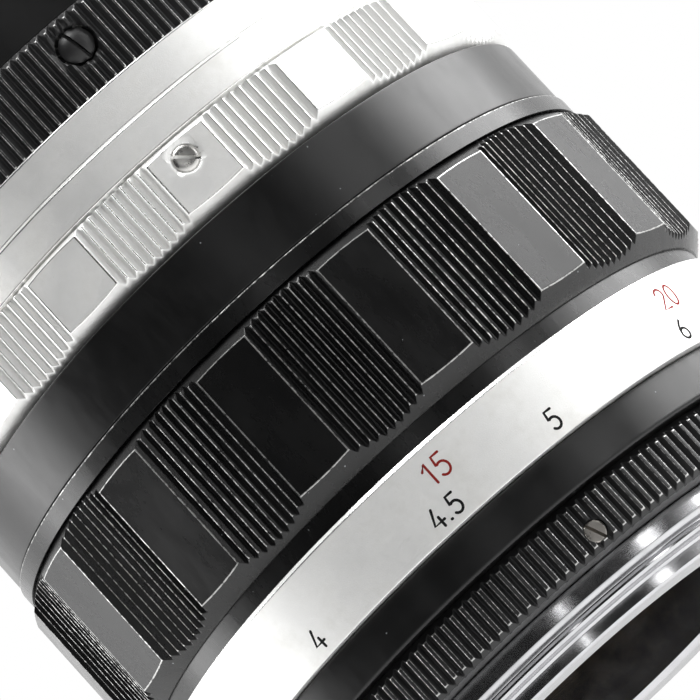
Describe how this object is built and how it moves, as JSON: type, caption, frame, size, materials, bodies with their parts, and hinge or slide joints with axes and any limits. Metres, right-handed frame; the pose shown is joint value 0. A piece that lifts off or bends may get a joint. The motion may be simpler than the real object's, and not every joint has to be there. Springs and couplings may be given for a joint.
{
  "type": "prime camera lens",
  "caption": "Short telephoto prime lens with scalloped focusing and preset rings, knurled aperture ring, distance scale and screw-in camera mount adapter.",
  "frame": {"origin": "centre of the rear face of the mount ring, on the optical axis", "axes": "+Z along the optical axis towards the front of the lens; -Y is the side with the visible adapter screw and the middle of the distance scale"},
  "size_m": [0.0649, 0.0649, 0.0856],
  "materials": {
    "satin_black": "satin black anodised",
    "gloss_black": "black anodised, edges worn to bright metal",
    "knurled_black": "satin black, ridge tips worn",
    "satin_silver": "fine blasted satin",
    "polished_metal": "polished",
    "bare_steel": "turned steel",
    "brass": "machined",
    "matt_black": "matt black",
    "coated_glass": "single coated",
    "blade_steel": "blued steel"
  },
  "bodies": {
    "mount": {"mount_ring": "polished_metal", "adapter_ring": "knurled_black", "adapter_grub_screws": "bare_steel", "rear_barrel": "satin_black", "snap_ring": "bare_steel", "guide_key": "brass", "guide_key_screw": "bare_steel"},
    "focus": {"focus_ring": "gloss_black", "distance_scale_ring": "satin_silver", "helicoid_nut": "brass", "focus_stop_screw": "bare_steel"},
    "head": {"head_barrel": "satin_black", "helicoid_tube": "brass", "optical_barrel": "matt_black", "index_band": "satin_silver", "click_ball": "polished_metal", "click_spring": "bare_steel", "iris_base_plate": "matt_black", "iris_spacer": "matt_black", "rear_cell": "matt_black", "rear_element": "coated_glass", "rear_retaining_ring": "matt_black", "front_cell": "matt_black", "inner_element_rear": "coated_glass", "inner_element_front": "coated_glass", "element_spacer": "matt_black", "front_element": "coated_glass", "front_retaining_ring": "matt_black", "front_ring": "satin_black", "bezel_ring": "satin_black"},
    "preset": {"preset_ring": "satin_silver", "preset_ring_screws": "polished_metal", "preset_stop_pin": "bare_steel"},
    "aperture": {"aperture_ring": "knurled_black", "aperture_ring_screws": "knurled_black", "iris_cam_ring": "matt_black"},
    "blade_1": {"iris_blade_1": "blade_steel"},
    "blade_2": {"iris_blade_2": "blade_steel"},
    "blade_3": {"iris_blade_3": "blade_steel"},
    "blade_4": {"iris_blade_4": "blade_steel"},
    "blade_5": {"iris_blade_5": "blade_steel"},
    "blade_6": {"iris_blade_6": "blade_steel"},
    "blade_7": {"iris_blade_7": "blade_steel"},
    "blade_8": {"iris_blade_8": "blade_steel"},
    "blade_9": {"iris_blade_9": "blade_steel"},
    "blade_10": {"iris_blade_10": "blade_steel"}
  },
  "joints": [
    {"name": "focus_turn", "type": "hinge", "parent": "mount", "child": "focus", "pos_m": [0, 0, 0.017], "axis": [0, 0, 1], "range_deg": [0, 317]},
    {"name": "head_travel", "type": "slide", "parent": "mount", "child": "head", "axis": [0, 0, 1], "range_m": [0, 0.0064]},
    {"name": "preset_turn", "type": "hinge", "parent": "head", "child": "preset", "pos_m": [0, 0, 0.05], "axis": [0, 0, 1], "range_deg": [-32, 0]},
    {"name": "aperture_turn", "type": "hinge", "parent": "head", "child": "aperture", "pos_m": [0, 0, 0.064], "axis": [0, 0, 1], "range_deg": [0, 32]},
    {"name": "blade_1_swing", "type": "hinge", "parent": "head", "child": "blade_1", "pos_m": [0.0224, 0, 0.058], "axis": [0, 0, 1], "range_deg": [0, 34]},
    {"name": "blade_2_swing", "type": "hinge", "parent": "head", "child": "blade_2", "pos_m": [0.01812, 0.01317, 0.058], "axis": [0, 0, 1], "range_deg": [0, 34]},
    {"name": "blade_3_swing", "type": "hinge", "parent": "head", "child": "blade_3", "pos_m": [0.00692, 0.0213, 0.058], "axis": [0, 0, 1], "range_deg": [0, 34]},
    {"name": "blade_4_swing", "type": "hinge", "parent": "head", "child": "blade_4", "pos_m": [-0.00692, 0.0213, 0.058], "axis": [0, 0, 1], "range_deg": [0, 34]},
    {"name": "blade_5_swing", "type": "hinge", "parent": "head", "child": "blade_5", "pos_m": [-0.01812, 0.01317, 0.058], "axis": [0, 0, 1], "range_deg": [0, 34]},
    {"name": "blade_6_swing", "type": "hinge", "parent": "head", "child": "blade_6", "pos_m": [-0.0224, 0, 0.058], "axis": [0, 0, 1], "range_deg": [0, 34]},
    {"name": "blade_7_swing", "type": "hinge", "parent": "head", "child": "blade_7", "pos_m": [-0.01812, -0.01317, 0.058], "axis": [0, 0, 1], "range_deg": [0, 34]},
    {"name": "blade_8_swing", "type": "hinge", "parent": "head", "child": "blade_8", "pos_m": [-0.00692, -0.0213, 0.058], "axis": [0, 0, 1], "range_deg": [0, 34]},
    {"name": "blade_9_swing", "type": "hinge", "parent": "head", "child": "blade_9", "pos_m": [0.00692, -0.0213, 0.058], "axis": [0, 0, 1], "range_deg": [0, 34]},
    {"name": "blade_10_swing", "type": "hinge", "parent": "head", "child": "blade_10", "pos_m": [0.01812, -0.01317, 0.058], "axis": [0, 0, 1], "range_deg": [0, 34]}
  ],
  "couplings": [
    {"joint": "head_travel", "follows": "focus_turn", "m_per_rad": 0.0011495},
    {"joint": "blade_1_swing", "follows": "aperture_turn", "ratio": 1.0625},
    {"joint": "blade_2_swing", "follows": "aperture_turn", "ratio": 1.0625},
    {"joint": "blade_3_swing", "follows": "aperture_turn", "ratio": 1.0625},
    {"joint": "blade_4_swing", "follows": "aperture_turn", "ratio": 1.0625},
    {"joint": "blade_5_swing", "follows": "aperture_turn", "ratio": 1.0625},
    {"joint": "blade_6_swing", "follows": "aperture_turn", "ratio": 1.0625},
    {"joint": "blade_7_swing", "follows": "aperture_turn", "ratio": 1.0625},
    {"joint": "blade_8_swing", "follows": "aperture_turn", "ratio": 1.0625},
    {"joint": "blade_9_swing", "follows": "aperture_turn", "ratio": 1.0625},
    {"joint": "blade_10_swing", "follows": "aperture_turn", "ratio": 1.0625}
  ]
}
